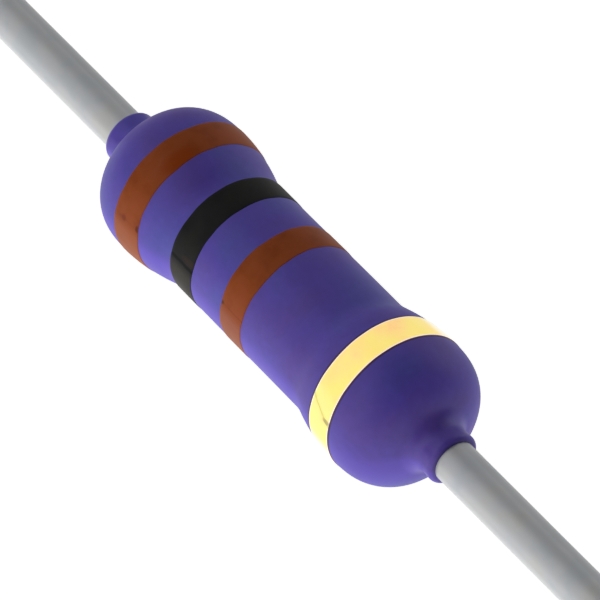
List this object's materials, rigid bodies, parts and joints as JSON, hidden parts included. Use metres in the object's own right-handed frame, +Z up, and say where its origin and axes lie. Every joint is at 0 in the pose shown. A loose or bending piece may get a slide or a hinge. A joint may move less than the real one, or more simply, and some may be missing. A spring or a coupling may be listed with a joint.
{
  "type": "axial resistor",
  "caption": "Small film resistor with a dog-bone lacquered body, painted colour bands and a straight tinned wire lead at each end; it limits current when its leads are soldered.",
  "frame": {"origin": "middle of the body on the lead axis, which is also the centre of the whole part", "axes": "+X along the leads towards the gold tolerance band, +Z up, +Y across the body"},
  "size_m": [0.0636, 0.0022, 0.0022],
  "materials": {
    "alumina_ceramic": "matte",
    "resistive_film": "satin",
    "cap_steel": "satin",
    "tinned_wire": "satin",
    "violet_lacquer": "gloss",
    "brown_paint": "gloss",
    "black_paint": "gloss",
    "gold_paint": "gloss"
  },
  "bodies": {
    "root": {"ceramic_rod": "alumina_ceramic", "resistive_film": "resistive_film", "left_end_cap": "cap_steel", "right_end_cap": "cap_steel", "left_lead": "tinned_wire", "right_lead": "tinned_wire", "lacquer_coat": "violet_lacquer", "first_digit_band": "brown_paint", "second_digit_band": "black_paint", "multiplier_band": "brown_paint", "tolerance_band": "gold_paint"}
  },
  "joints": []
}
